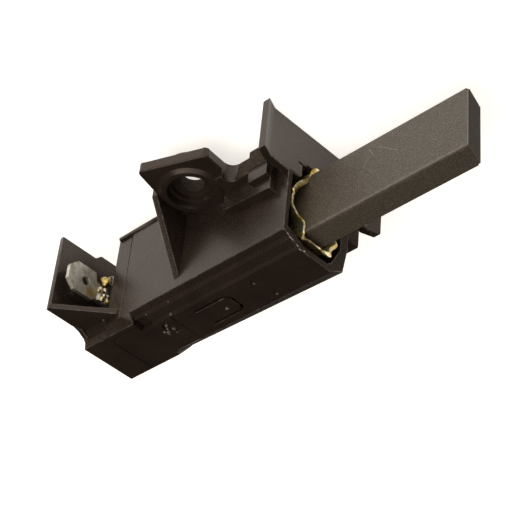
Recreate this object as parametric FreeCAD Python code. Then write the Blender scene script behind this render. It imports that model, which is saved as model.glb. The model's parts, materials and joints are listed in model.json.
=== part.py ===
import FreeCAD, Part
import math
import os

# A carbon brush in its moulded holder, from a small series motor. Sizes are in millimetres.
# X runs along the brush and out of the mouth. Y points to the side with the screw ear and the
# push-on blade. Z points away from the motor's end frame, which the holder is screwed down on.
# Everything is drawn about the brush axis, with X = 0 in the plane of the mouth, and is moved at
# the end so that the origin lies on the screw hole's axis, in the face that seats on the frame.

# Carbon block and the copper powder plug that holds its cord
carbon_thick = 5.0
carbon_wide = 12.5
carbon_length = 38.0
carbon_reach = 34.0
tip_bevel = 1.4
plug_diameter = 3.4
plug_depth = 5.0
plug_gap = 0.02

# Brass guide, folded from sheet round the carbon
guide_sheet = 0.4
guide_side_gap = 0.15
guide_edge_gap = 0.3
guide_bend = 0.5
flare_length = 2.0
flare_side = 0.45
flare_edge = 0.7
flare_drop = 0.3
flare_in_mouth = 0.4
notch_depth = 4.0
notch_top = -6.6
notch_foot = 6.6

# Moulded body: a box-shaped tube with walls of three thicknesses
body_half = 7.8
seat_face = -11.0
top_face = 11.05
wall_ear_side = 1.0
wall_far_side = 1.9
wall_seat = 1.4
wall_top = 1.3
tube_length = 44.0
end_wall = 1.0
cord_hole = 3.0
step_out = 1.3
step_wide = 2.1
step_drop = 0.5
step_low = 0.85
deep_end = 6.5
far_corner_front = -6.9
far_corner_rear = -6.0
far_corner_drop = 1.85
far_taper_drop = 7.35
far_inside_step = 2.9
far_inside_corner = 1.9
far_inside_drop = 4.7
rear_far_edge = -5.0
rear_ear_edge = 6.6
rib_thick = 1.2
rib_spread_side = 4.5
rib_spread_edge = 1.5
rib_setback = 5.0
guide_fit = 0.05
strip_long = 3.8
strip_deep = 0.2

# Rear plate and the pocket of the blade
rear_plate = 1.0
pocket_deep = 5.4
rear_low = -9.9
plate_reach = 16.45
plate_low = -8.75
plate_step = 8.4
floor_face = 7.85
floor_thick = 1.1
floor_start = 3.0
post_wide = 3.0
post_high = 7.6

# Screw ear with its raised collar, and the rib under it
ear_top = -6.5
ear_thick = 2.1
screw_x = -19.5
screw_y = 12.3
screw_hole = 4.3
collar_diameter = 10.5
collar_base = 12.0
collar_rise = 0.5
head_bore = 8.6
head_step = 7.2
head_step_depth = 1.5
head_depth = 2.3
ear_edge_round = 0.3
ear_left = -23.6
ear_tip = 21.7
ear_left_round = 0.9
ear_right = -11.0
ear_right_tip = 17.2
ear_right_lean = 0.5
ear_round = 1.1
ledge_reach = 10.6
ledge_round = 1.6
ledge_left = -13.4
ledge_top = 12.9
ledge_foot = -4.9
rib_left = -26.35
rib_width = 1.3
rib_top = 15.4
rib_foot = 7.3

# Rail along the ear side, and the block that stands on it
rail_left = -13.9
rail_reach = 9.4
rail_foot_left = -0.9
rail_foot_right = -0.1
block_left = -7.1
block_right = -2.7
block_reach = 10.7
block_low = -9.8
block_high = -2.8
block_step_face = -5.3
block_step = 0.25

# Locating flange across the mouth, with a tab on each side of its opening
flange_thick = 1.5
flange_half = 14.8
flange_flat_half = 12.3
flange_bevel = 1.0
flange_low = -14.8
flange_high = -3.75
mouth_half = 3.6
mouth_low = -7.8
tab_edge = 4.6
tab_round = 1.2
tab_slot_low = -7.2
tab_slot = 0.4
tab_slot_end = 5.7

# Latch tongue and marks in the face away from the frame
latch_left = -26.0
latch_right = -18.0
latch_half = 2.5
latch_slot = 0.5
latch_round = 1.6
corner_hole_setback = 6.4
corner_hole_long = 2.8
corner_hole_low = 4.0
panel_reach = 13.6
panel_overhang = 0.5
panel_half = 5.7
panel_round = 1.6
panel_groove = 0.3
panel_groove_deep = 0.15
dent_x = -32.4
dent_y = 1.7
dent_long = 3.4
dent_wide = 3.2
dent_deep = 0.35
ejector_diameter = 1.2
ejector_deep = 0.12
ejector_marks = [(-12.2, 2.0), (-11.0, -2.5)]

# Half-round lip along the frame edge of the tube's ear side
lip_setback = 0.5
lip_long = 9.9
lip_high = 0.9
lip_out = 0.4

# Spring, cord and blade
spring_mean = 4.5
spring_wire = 0.5
spring_turns = 8
spring_gap = 0.05
cord_diameter = 2.0
blade_sheet = 0.8
blade_wide = 6.3
blade_setback = 3.1
blade_tip = 15.7
blade_shoulder = 9.6
blade_shoulder_drop = 0.45
blade_chamfer = 1.7
blade_hole = 1.8
blade_hole_y = 11.6
neck_low = -1.2
neck_high = 2.6
neck_foot = 2.6
claw_diameter = 1.1
claw_setback = 0.8
claw_places = [6.8, 8.1]
slot_fit = 0.05
crimp_wall = 0.4
crimp_setback = 2.9
crimp_z = -2.9
crimp_low = 3.5
crimp_high = 6.4
cord_end = 6.9

# Places that follow from the sizes above
carbon_back = carbon_reach - carbon_length
guide_half_y = carbon_thick / 2 + guide_side_gap + guide_sheet
guide_half_z = carbon_wide / 2 + guide_edge_gap + guide_sheet
cavity_back = end_wall - tube_length
cavity_ear_side = body_half - wall_ear_side
cavity_far_side = wall_far_side - body_half
cavity_seat = seat_face + wall_seat
cavity_top = top_face - wall_top
draft_start = deep_end - tube_length
pocket_back = -tube_length - pocket_deep
rear_face = pocket_back - rear_plate
blade_x = -tube_length - blade_setback
crimp_x = -tube_length - crimp_setback
datum = FreeCAD.Vector(screw_x, screw_y, seat_face)


def vector(x, y, z):
    return FreeCAD.Vector(x, y, z)


def box(x_range, y_range, z_range):
    """Block between two values on each axis."""
    size = [high - low for low, high in (x_range, y_range, z_range)]
    corner = vector(x_range[0], y_range[0], z_range[0])
    return Part.makeBox(size[0], size[1], size[2], corner)


def cylinder(diameter, start, end):
    """Round bar of a diameter between two points."""
    along = end - start
    return Part.makeCylinder(diameter / 2, along.Length, start, along)


def tangent_arc(before, corner, after, radius):
    """Start, middle and end of the arc that rounds one corner of a path."""
    back = (before - corner) * (1 / (before - corner).Length)
    ahead = (after - corner) * (1 / (after - corner).Length)
    half_turn = (math.pi - back.getAngle(ahead)) / 2
    reach = radius * math.tan(half_turn)
    inward = back + ahead
    inward = inward * (1 / inward.Length)
    depth = radius / math.cos(half_turn) - radius
    return corner + back * reach, corner + inward * depth, corner + ahead * reach


def rounded_wire(points, radii, closed):
    """Wire through points, with an arc at each corner that has a radius above zero."""
    count = len(points)
    stops = []
    for index, point in enumerate(points):
        if radii[index] > 0:
            stops.append(tangent_arc(points[index - 1], point, points[(index + 1) % count], radii[index]))
        else:
            stops.append((point, point, point))
    edges = []
    for index, (start, middle, end) in enumerate(stops):
        if radii[index] > 0:
            edges.append(Part.Arc(start, middle, end).toShape())
        if index + 1 < count or closed:
            edges.append(Part.LineSegment(end, stops[(index + 1) % count][0]).toShape())
    return Part.Wire(edges)


def prism(points, along, radii=None):
    """Solid with the outline of points, extruded by the vector along."""
    wire = rounded_wire(points, radii or [0] * len(points), True)
    return Part.Face(wire).extrude(along)


def across(outline, x_start, x_end, radii=None):
    """Prism of a Y-Z outline between two X values."""
    points = [vector(x_start, y, z) for y, z in outline]
    return prism(points, vector(x_end - x_start, 0, 0), radii)


def flat(outline, z_start, z_end, radii=None):
    """Prism of an X-Y outline between two Z values."""
    points = [vector(x, y, z_start) for x, y in outline]
    return prism(points, vector(0, 0, z_end - z_start), radii)


def round_top(shape, radius):
    """The same solid with the edges of its highest face rounded."""
    top = shape.BoundBox.ZMax
    edges = [edge for edge in shape.Edges if edge.BoundBox.ZMin > top - 0.001]
    return shape.makeFillet(radius, edges)


def upper_steps(inset_y, inset_z):
    """The two steps that run along the upper corner on the ear side, outside or inside."""
    side = body_half - inset_y
    top = top_face - inset_z
    inner_step = side - step_out - step_wide
    return [
        (side, top - step_low - 1.0),
        (side - step_out, top - step_low - 0.7),
        (side - step_out - step_drop, top - step_low),
        (inner_step, top - step_drop),
        (inner_step - step_drop, top),
    ]


def tube_section(x, far_corner):
    """Closed outline of the tube at one X; its far upper corner leans in by the mould's draft."""
    flat_edge = step_out + step_wide + step_drop - body_half
    far_side = [
        (flat_edge, top_face),
        (far_corner + (flat_edge - far_corner) * 0.6, top_face - step_low - 0.1),
        (far_corner, top_face - far_corner_drop),
        (-body_half, top_face - far_taper_drop),
    ]
    outline = [(body_half, seat_face)] + upper_steps(0, 0) + far_side + [(-body_half, seat_face)]
    return Part.makePolygon([vector(x, y, z) for y, z in outline + outline[:1]])


def rear_profile(low):
    """Y-Z outline of the deeper rear end, from its floor round to a Z on the frame side."""
    return [
        (rear_ear_edge, top_face),
        (rear_far_edge, top_face),
        (rear_far_edge - 1.0, top_face - 1.25),
        (-body_half, top_face - 3.65),
        (-body_half, low),
    ]


def guide_ribs():
    """Long ribs inside the tube that carry the guide on all four sides."""
    side = guide_half_y + guide_fit
    edge = guide_half_z + guide_fit
    along = (cavity_back, -rib_setback)
    ribs = []
    for middle in (-rib_spread_side, rib_spread_side):
        thick = (middle - rib_thick / 2, middle + rib_thick / 2)
        ribs.append(box(along, (side, cavity_ear_side), thick))
        ribs.append(box(along, (cavity_far_side, -side), thick))
    for middle in (-rib_spread_edge, rib_spread_edge):
        thick = (middle - rib_thick / 2, middle + rib_thick / 2)
        ribs.append(box(along, thick, (edge, cavity_top)))
        ribs.append(box(along, thick, (cavity_seat, -edge)))
    return ribs


def far_inside(low):
    """Inside outline of the far wall, from the top face round to a Z on the frame side."""
    far = cavity_far_side
    return [
        (far + far_inside_step, cavity_top),
        (far + far_inside_corner, cavity_top - step_low),
        (far, cavity_top - far_inside_drop),
        (far, low),
    ]


def cavity():
    """Hollow inside of the tube, with its upper corners following the outside."""
    outline = [(cavity_ear_side, cavity_seat)] + upper_steps(wall_ear_side, wall_top)
    return across(outline + far_inside(cavity_seat), cavity_back, 0)


def tube():
    """The box-shaped tube from the end wall to the mouth."""
    sections = [tube_section(draft_start, far_corner_rear), tube_section(0, far_corner_front)]
    front = Part.makeLoft(sections, True, True)
    rear_outline = [(body_half, seat_face)] + upper_steps(0, 0)[:1] + rear_profile(seat_face)
    rear = across(rear_outline, -tube_length, draft_start)
    hole = cylinder(cord_hole, vector(-tube_length, 0, 0), vector(cavity_back, 0, 0))
    return front.fuse(rear).cut([cavity(), hole]).fuse(guide_ribs())


def rectangle(x_range, y_range):
    """X-Y outline of a rectangle, from its rear corner on the far side."""
    (left, right), (near, far) = x_range, y_range
    return [(left, near), (right, near), (right, far), (left, far)]


def latch_slot_cut():
    """U-shaped slot round the tongue that presses on the guide."""
    outer = rectangle((latch_left, latch_right), (-latch_half, latch_half))
    inner_half = latch_half - latch_slot
    inner = rectangle((latch_left, latch_right - latch_slot), (-inner_half, inner_half))
    inner_round = latch_round - latch_slot
    tongue = flat(inner, cavity_top, top_face, [0, inner_round, inner_round, 0])
    return flat(outer, cavity_top, top_face, [0, latch_round, latch_round, 0]).cut(tongue)


def corner_hole_cut():
    """Moulding hole through the stepped corner near the rear."""
    left = corner_hole_setback - tube_length
    return box(
        (left, left + corner_hole_long),
        (corner_hole_low, cavity_ear_side - step_out / 2),
        (cavity_top, top_face),
    )


def mould_marks():
    """Groove round the rear panel, the dent beside it and the marks of the ejector pins."""
    rear = -tube_length - panel_overhang
    front = panel_reach - tube_length
    low = top_face - panel_groove_deep
    outer = rectangle((rear, front), (-panel_half, panel_half))
    inner_half = panel_half - panel_groove
    inner = rectangle((rear + panel_groove, front - panel_groove), (-inner_half, inner_half))
    inner_round = panel_round - panel_groove
    panel = flat(inner, low, top_face, [inner_round] * 4)
    groove = flat(outer, low, top_face, [panel_round] * 4).cut(panel)
    dent_outline = rectangle(
        (dent_x - dent_long / 2, dent_x + dent_long / 2),
        (dent_y - dent_wide / 2, dent_y + dent_wide / 2),
    )
    dent = flat(dent_outline, top_face - dent_deep, top_face, [dent_wide / 3] * 4)
    marks = []
    for x, y in ejector_marks:
        marks.append(cylinder(ejector_diameter, vector(x, y, top_face - ejector_deep), vector(x, y, top_face)))
    return [groove, dent] + marks


def wall_strip():
    """Shallow recess across the rear end of the wall on the ear side."""
    return box(
        (-tube_length, strip_long - tube_length),
        (body_half - strip_deep, body_half),
        (seat_face, top_face - step_low - 1.0),
    )


def frame_edge_lip():
    """Half-round lip along the frame edge of the wall on the ear side."""
    left = lip_setback - tube_length
    outline = [
        (cavity_ear_side, seat_face),
        (body_half + lip_out, seat_face),
        (body_half + lip_out, seat_face + lip_high),
        (cavity_ear_side, seat_face + lip_high),
    ]
    return across(outline, left, left + lip_long, [0, lip_high * 0.45, lip_high * 0.45, 0])


def pocket():
    """Rear plate, floor and walls round the blade, open to the ear side and to the frame."""
    waist = rear_ear_edge + 0.2
    outline = [
        (plate_step + rear_low - plate_low, rear_low),
        (plate_step, plate_low),
        (plate_reach, plate_low),
        (plate_reach, floor_face),
        (body_half + 1.4, floor_face),
        (waist, top_face - 1.75),
    ]
    radii = [0, 0, 0, 0, 2.0, 0.8, 0, 0, 0, 0, 0]
    plate = across(outline + rear_profile(rear_low), rear_face, pocket_back, radii)
    inside = far_inside(rear_low)[::-1] + [(rear_ear_edge, cavity_top)]
    walls = across(rear_profile(rear_low) + inside, pocket_back, -tube_length)
    floor_end = floor_start - tube_length
    floor_outline = [
        (pocket_back, cavity_ear_side - 0.4),
        (pocket_back, plate_reach),
        (floor_end, body_half),
        (floor_end, cavity_ear_side - 0.4),
    ]
    floor = flat(floor_outline, floor_face - floor_thick, floor_face)
    skirt_outline = [
        (rear_ear_edge - wall_ear_side, floor_face - floor_thick),
        (body_half, floor_face - floor_thick),
        (body_half, floor_face),
        (waist, top_face - 1.75),
        (rear_ear_edge, top_face),
        (rear_ear_edge - wall_ear_side, top_face),
    ]
    skirt = across(skirt_outline, pocket_back, -tube_length)
    return [plate, walls, floor, skirt] + blade_posts()


def blade_posts():
    """Two posts that clamp the blade's foot between the end wall and the rear plate."""
    high = neck_foot + post_wide
    front = (blade_x + blade_sheet / 2 + slot_fit, -tube_length)
    back = (pocket_back, blade_x - blade_sheet / 2 - slot_fit)
    low = cavity_top - post_high
    return [box(x_range, (neck_foot, high), (low, cavity_top)) for x_range in (front, back)]


def ear():
    """Ear plate, screw boss with its collar, rib and ledge along the tube."""
    under = ear_top - ear_thick
    rib_right = rib_left + rib_width
    outline = [
        (rib_left, cavity_ear_side),
        (rib_left, rib_top),
        (rib_right, rib_top),
        (ear_left, ear_tip),
        (ear_right, ear_right_tip),
        (ear_right - ear_right_lean, ledge_reach),
        (block_right, ledge_reach),
        (block_right, cavity_ear_side),
    ]
    radii = [0, 0, 0, ear_left_round, ear_round, ledge_round, 0, 0]
    plate = round_top(flat(outline, under, ear_top, radii), ear_edge_round)
    boss = cylinder(collar_diameter, vector(screw_x, screw_y, seat_face), vector(screw_x, screw_y, ear_top))
    collar = Part.makeCone(
        collar_base / 2,
        collar_diameter / 2,
        collar_rise,
        vector(screw_x, screw_y, ear_top),
    )
    rib_outline = [
        (cavity_ear_side, seat_face),
        (body_half, seat_face),
        (rib_top, under),
        (rib_top, ear_top),
        (body_half, rib_foot),
        (cavity_ear_side, rib_foot),
    ]
    return [plate, boss, collar, ledge(), across(rib_outline, rib_left, rib_right)]


def ledge():
    """Taller wall along the hollow of the ear's outline, as far as the block."""
    lean = ear_right_lean * (ear_right_tip - ledge_top) / (ear_right_tip - ledge_reach)
    outline = [
        (ledge_left, cavity_ear_side),
        (ledge_left, ledge_top),
        (ear_right - lean, ledge_top),
        (ear_right - ear_right_lean, ledge_reach),
        (block_right, ledge_reach),
        (block_right, cavity_ear_side),
    ]
    wall = flat(outline, ear_top - ear_thick, ledge_foot, [0, 0.4, 0, ledge_round, 0, 0])
    return round_top(wall, ear_edge_round)


def screw_bore():
    """Screw hole with the stepped counterbore for the screw's head."""
    collar = ear_top + collar_rise
    low = vector(screw_x, screw_y, seat_face)
    step = vector(screw_x, screw_y, collar - head_step_depth)
    deep = vector(screw_x, screw_y, collar - head_depth)
    high = vector(screw_x, screw_y, collar)
    bore = cylinder(screw_hole, low, high)
    return bore.fuse([cylinder(head_step, deep, high), cylinder(head_bore, step, high)])


def rail_and_block():
    """Solid rail beside the mouth, with its foot a little aslant, and the stepped block on it."""
    under = ear_top - ear_thick
    outline = [
        (rail_left, under),
        (block_right, under),
        (block_right, rail_foot_right),
        (rail_left, rail_foot_left),
    ]
    points = [vector(x, cavity_ear_side, z) for x, z in outline]
    rail = prism(points, vector(0, rail_reach - cavity_ear_side, 0))
    along = (block_left, block_right)
    block = box(along, (cavity_ear_side, block_reach), (block_low, block_step_face))
    block_end = box(along, (cavity_ear_side, block_reach - block_step), (block_step_face, block_high))
    return [rail, block, block_end]


def flange():
    """Wings across the mouth, with their outer edges bent forward."""
    outline = [
        (0, flange_flat_half),
        (flange_bevel, flange_half),
        (flange_bevel - flange_thick, flange_half),
        (-flange_thick, flange_flat_half),
    ]
    mirrored = [(x, -y) for x, y in reversed(outline)]
    wings = flat(outline + mirrored, flange_low, flange_high)
    slot_top = tab_slot_low + tab_slot
    half_opening = [
        (mouth_half, mouth_low),
        (mouth_half, slot_top),
        (tab_edge, slot_top),
        (tab_edge, flange_high),
        (tab_edge + 2 * tab_round, flange_high),
        (tab_edge + 2 * tab_round, flange_high + tab_round),
    ]
    other_half = [(-y, z) for y, z in reversed(half_opening)]
    radii = [0, 0, 0, tab_round, 0, 0]
    opening = across(half_opening + other_half, -flange_thick, 0, radii + radii[::-1])
    slots = box((-flange_thick, 0), (-tab_slot_end, tab_slot_end), (tab_slot_low, slot_top))
    return wings.cut([opening, slots])


def holder_body():
    """The whole moulding as one solid."""
    pieces = pocket() + ear() + rail_and_block() + [flange(), frame_edge_lip()]
    cuts = [screw_bore(), latch_slot_cut(), corner_hole_cut()] + mould_marks()
    return tube().cut(wall_strip()).fuse(pieces).cut(cuts).removeSplitter()


def guide_section(x, half_y, half_z, bend, drop=0):
    """Rounded rectangle round the brush axis, as a wire at one X; drop moves it along Z."""
    corners = [(-half_y, -half_z), (half_y, -half_z), (half_y, half_z), (-half_y, half_z)]
    return rounded_wire([vector(x, y, z + drop) for y, z in corners], [bend] * 4, True)


def guide_stretch(x_start, x_end, grow_y, grow_z, drop):
    """Solid of the guide's outside less its inside, flaring by two growths and a drop."""
    solids = []
    for sheet, bend in ((0, guide_bend), (guide_sheet, guide_bend - guide_sheet / 2)):
        half_y = guide_half_y - sheet
        half_z = guide_half_z - sheet
        near = guide_section(x_start, half_y, half_z, bend)
        far = guide_section(x_end, half_y + grow_y, half_z + grow_z, bend, drop)
        solids.append(Part.makeLoft([near, far], True))
    return solids[0].cut(solids[1])


def guide_tube():
    """Brass guide with its flared mouth and the notch worn into its ear side."""
    start = cavity_back + spring_gap
    bend_line = flare_in_mouth - flare_length
    straight = guide_stretch(start, bend_line, 0, 0, 0)
    flare = guide_stretch(bend_line, flare_in_mouth, flare_side, flare_edge, flare_drop)
    notch_outline = [
        (flare_in_mouth, notch_top),
        (flare_in_mouth - notch_depth * 0.76, notch_top * 0.66),
        (flare_in_mouth - notch_depth, notch_top * 0.3),
        (flare_in_mouth - notch_depth * 0.25, notch_foot * 0.6),
        (flare_in_mouth, notch_foot),
    ]
    points = [vector(x, carbon_thick / 2, z) for x, z in notch_outline]
    notch = prism(points, vector(0, body_half, 0), [0, 0.9, 1.4, 2.5, 0])
    seam_wide = 0.3
    seam = box(
        (start, flare_in_mouth),
        (-body_half, -carbon_thick / 2),
        (-seam_wide / 2, seam_wide / 2),
    )
    return straight.fuse(flare).cut([notch, seam]).removeSplitter()


def carbon_block():
    """Carbon with its bevelled tip and the blind hole for the plug."""
    side = carbon_thick / 2
    outline = [
        (carbon_back, -side),
        (carbon_reach - tip_bevel, -side),
        (carbon_reach, side),
        (carbon_back, side),
    ]
    block = flat(outline, -carbon_wide / 2, carbon_wide / 2)
    hole = cylinder(plug_diameter, vector(carbon_back, 0, 0), vector(carbon_back + plug_depth, 0, 0))
    return block.cut(hole)


def shunt_plug():
    """Copper powder tamped round the end of the cord."""
    start = vector(carbon_back, 0, 0)
    end = vector(carbon_back + plug_depth - plug_gap, 0, 0)
    return cylinder(plug_diameter - 2 * plug_gap, start, end)


def pressure_spring():
    """Coil spring between the end wall and the back of the carbon."""
    start = cavity_back + spring_gap
    length = carbon_back - spring_gap - start
    rise = length - spring_wire
    helix = Part.makeHelix(rise / spring_turns, rise, spring_mean / 2)
    half = spring_wire / 2
    middle = spring_mean / 2
    corners = [(middle - half, -half), (middle + half, -half), (middle + half, half), (middle - half, half)]
    section = rounded_wire([vector(x, 0, z) for x, z in corners], [0] * 4, True)
    coil = Part.Wire(helix.Edges).makePipeShell([section], True, True)
    coil.rotate(vector(0, 0, 0), vector(0, 1, 0), 90)
    coil.translate(vector(start + half, 0, 0))
    return coil


def cord_points():
    """Route of the cord: through the spring and the end wall, then round into the crimp."""
    return [
        vector(carbon_back - spring_gap, 0, 0),
        vector(0.1 - tube_length, 0, 0),
        vector(-1.6 - tube_length, -0.1, -0.3),
        vector(crimp_x + 0.1, 0.6, crimp_z + 1.2),
        vector(crimp_x, 2.4, crimp_z),
        vector(crimp_x, cord_end, crimp_z),
    ]


def pigtail():
    """Braided copper cord from the carbon to the blade."""
    points = cord_points()
    radii = [0]
    for before, corner, after in zip(points, points[1:], points[2:]):
        turn = math.pi - (before - corner).getAngle(after - corner)
        shorter = min((before - corner).Length, (after - corner).Length)
        radii.append(0.45 * shorter / math.tan(turn / 2))
    radii.append(0)
    path = rounded_wire(points, radii, False)
    along = points[1] - points[0]
    section = Part.Wire(Part.Circle(points[0], along, cord_diameter / 2).toShape())
    cord = path.makePipeShell([section], True, False)
    share = cord.Volume / (path.Length * math.pi * (cord_diameter / 2) ** 2)
    print("cord radii", [round(radius, 1) for radius in radii[1:-1]], "volume share", round(share, 3))
    return cord


def terminal_blade():
    """Push-on blade with its shoulders, neck, foot and the crimp that grips the cord."""
    half = blade_wide / 2
    x_low = blade_x - blade_sheet / 2
    x_high = blade_x + blade_sheet / 2
    outline = [
        (blade_shoulder, -half),
        (blade_tip - blade_chamfer, -half),
        (blade_tip, blade_chamfer - half),
        (blade_tip, half - blade_chamfer),
        (blade_tip - blade_chamfer, half),
        (blade_shoulder, half),
        (blade_shoulder - blade_shoulder_drop, neck_high),
        (neck_foot + post_wide, neck_high),
        (neck_foot + post_wide, cavity_top - slot_fit),
        (neck_foot, cavity_top - slot_fit),
        (neck_foot, neck_low),
        (blade_shoulder - blade_shoulder_drop, neck_low),
    ]
    blade = across(outline, x_low, x_high)
    hole_start = vector(x_low, blade_hole_y, 0)
    hole = cylinder(blade_hole, hole_start, hole_start + vector(blade_sheet, 0, 0))
    claws = []
    for y in claw_places:
        claws.append(cylinder(claw_diameter, vector(x_high, y, neck_low + claw_setback), vector(x_high, y, neck_high)))
    return blade.cut(hole).fuse(claws + crimp(x_high)).removeSplitter()


def crimp(x_high):
    """Sleeve beside the neck, rolled round the end of the cord, and the web that carries it."""
    outer = cord_diameter + 2 * crimp_wall + 2 * plug_gap
    low = vector(crimp_x, crimp_low, crimp_z)
    high = vector(crimp_x, crimp_high, crimp_z)
    bore = cylinder(cord_diameter + 2 * plug_gap, low, high)
    web = box(
        (x_high - blade_sheet, x_high),
        (crimp_low, crimp_high),
        (crimp_z + outer / 2 - crimp_wall, neck_low),
    )
    return [cylinder(outer, low, high).cut(bore), web.cut(bore)]


shapes = {
    "holder_body": holder_body(),
    "guide_tube": guide_tube(),
    "carbon_block": carbon_block(),
    "shunt_plug": shunt_plug(),
    "pressure_spring": pressure_spring(),
    "pigtail": pigtail(),
    "terminal_blade": terminal_blade(),
}

os.makedirs("parts", exist_ok=True)
for name, shape in shapes.items():
    shape.translate(datum * -1)
    shape.exportStep("parts/" + name + ".step")
    print(name, "solids", len(shape.Solids), "valid", shape.isValid(), "volume", round(shape.Volume, 1))
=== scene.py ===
import json
import math

import bpy
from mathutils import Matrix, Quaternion, Vector
from mathutils import noise as field


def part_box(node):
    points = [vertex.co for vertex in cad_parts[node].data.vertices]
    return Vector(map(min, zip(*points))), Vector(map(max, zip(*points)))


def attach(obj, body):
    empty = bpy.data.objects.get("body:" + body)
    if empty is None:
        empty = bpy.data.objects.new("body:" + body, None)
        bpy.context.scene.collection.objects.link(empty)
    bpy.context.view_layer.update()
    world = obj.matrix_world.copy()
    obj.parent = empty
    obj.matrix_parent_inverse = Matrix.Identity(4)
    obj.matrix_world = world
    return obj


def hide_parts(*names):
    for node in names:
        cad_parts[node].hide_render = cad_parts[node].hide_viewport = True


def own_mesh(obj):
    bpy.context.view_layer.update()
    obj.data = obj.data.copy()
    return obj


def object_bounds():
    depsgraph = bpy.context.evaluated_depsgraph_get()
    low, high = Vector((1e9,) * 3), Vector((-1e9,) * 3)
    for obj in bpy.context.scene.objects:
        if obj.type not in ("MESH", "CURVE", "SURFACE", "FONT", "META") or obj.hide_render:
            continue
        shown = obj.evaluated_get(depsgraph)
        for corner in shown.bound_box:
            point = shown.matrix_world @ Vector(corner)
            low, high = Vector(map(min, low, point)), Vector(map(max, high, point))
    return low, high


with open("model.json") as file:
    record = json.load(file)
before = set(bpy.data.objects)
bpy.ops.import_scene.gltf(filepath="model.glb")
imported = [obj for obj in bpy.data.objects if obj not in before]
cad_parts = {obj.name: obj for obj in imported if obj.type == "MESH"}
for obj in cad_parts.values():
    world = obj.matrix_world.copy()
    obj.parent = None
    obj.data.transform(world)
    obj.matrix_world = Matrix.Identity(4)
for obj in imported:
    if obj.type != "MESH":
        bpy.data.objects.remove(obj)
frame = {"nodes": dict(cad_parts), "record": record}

bl_info = {
    "name": "Carbon brush in its moulded holder",
    "version": (1, 0, 0),
    "blender": (4, 5, 0),
    "location": "3D View > Sidebar > Carbon Brush",
    "description": "Finishes the brush, its brass guide and its holder, and stages them",
    "category": "Object",
}

MM = 0.001
MOUNTS = {mount["name"]: Vector(mount["pos_m"]) for mount in frame["record"]["mounts"]}
CARBON_LOW, CARBON_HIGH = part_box("carbon_block")
CAD_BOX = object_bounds()

# The brush axis in the plane of the mouth; lengths along and about it are given from here.
MOUTH = Vector((MOUNTS["flange_front"].x, 0, 0))
MOUTH.y = (CARBON_LOW.y + CARBON_HIGH.y) / 2
MOUTH.z = (CARBON_LOW.z + CARBON_HIGH.z) / 2


def place(x, y, z):
    """Point in metres, from millimetres along the brush, towards the ear and away from the seat."""
    return MOUTH + Vector((x, y, z)) * MM


def linear(hex_colour):
    """Linear RGBA of an sRGB hex colour."""
    channels = [int(hex_colour[i : i + 2], 16) / 255 for i in (1, 3, 5)]
    return [c / 12.92 if c <= 0.04045 else ((c + 0.055) / 1.055) ** 2.4 for c in channels] + [1.0]


def deselect():
    """Nothing selected, so the next operator acts only on what is picked."""
    bpy.ops.object.select_all(action="DESELECT")


def pick(piece):
    """Makes one piece the only selected and the active one."""
    deselect()
    piece.select_set(True)
    bpy.context.view_layer.objects.active = piece


def settle(piece):
    """Puts the piece's place, turn and scale into its mesh."""
    pick(piece)
    bpy.ops.object.transform_apply(location=True, rotation=True, scale=True)
    return piece


def apply_modifiers(piece):
    """Applies every modifier of the piece in order."""
    pick(piece)
    for modifier in list(piece.modifiers):
        bpy.ops.object.modifier_apply(modifier=modifier.name)


def smooth(piece, degrees=35):
    """Shades the piece smooth, with edges sharper than this angle left crisp."""
    pick(piece)
    bpy.ops.object.shade_smooth_by_angle(angle=math.radians(degrees))


def smooth_flats(piece, degrees=35):
    """Shades rounded edges smooth, and lets the large flat faces between them stay flat."""
    smooth(piece, degrees)
    if "flat" in piece.data.attributes:
        crisp_flats(piece, len(piece.data.materials) - 1)
    weights = piece.modifiers.new("flat faces", "WEIGHTED_NORMAL")
    weights.keep_sharp = True
    apply_modifiers(piece)


def fit(piece, body, slot, material, *nodes):
    """Hangs the piece on its body with its finish, in place of the CAD nodes it stands for."""
    piece.data.materials.clear()
    piece.data.materials.append(material)
    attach(piece, body)
    if nodes:
        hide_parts(*nodes)


def paint(piece, material, wanted):
    """Gives the faces that pass a test a finish of their own."""
    piece.data.materials.append(material)
    for face in piece.data.polygons:
        if wanted(face):
            face.material_index = len(piece.data.materials) - 1


def block(name, low, high):
    """Cuboid between two corners, with its place in its mesh."""
    deselect()
    bpy.ops.mesh.primitive_cube_add(size=1, location=(low + high) / 2)
    piece = bpy.context.object
    piece.name = name
    piece.scale = high - low
    return settle(piece)


def node_copy(name, node):
    """Copy of a CAD node as one closed mesh with its flat faces whole again."""
    piece = frame["nodes"][node].copy()
    piece.data = piece.data.copy()
    piece.name = name
    piece.parent = None
    for key in list(piece.keys()):
        del piece[key]
    bpy.context.collection.objects.link(piece)
    pick(piece)
    bpy.ops.object.mode_set(mode="EDIT")
    bpy.ops.mesh.select_all(action="SELECT")
    bpy.ops.mesh.remove_doubles(threshold=0.001 * MM)
    bpy.ops.mesh.dissolve_limited(angle_limit=math.radians(0.5))
    bpy.ops.object.mode_set(mode="OBJECT")
    return piece


def cut_out(piece, tool):
    """Takes one closed shape away from another, and takes the tool away too."""
    cut = piece.modifiers.new("cut", "BOOLEAN")
    cut.operation = "DIFFERENCE"
    cut.solver = "EXACT"
    cut.object = tool
    apply_modifiers(piece)
    bpy.data.objects.remove(tool)


def select_faces(piece, wanted):
    """Picks the piece's faces that pass a test, ready for edit mode."""
    pick(piece)
    bpy.ops.object.mode_set(mode="EDIT")
    bpy.ops.mesh.select_mode(type="FACE")
    bpy.ops.mesh.select_all(action="DESELECT")
    bpy.ops.object.mode_set(mode="OBJECT")
    for face in piece.data.polygons:
        face.select = wanted(face)


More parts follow.
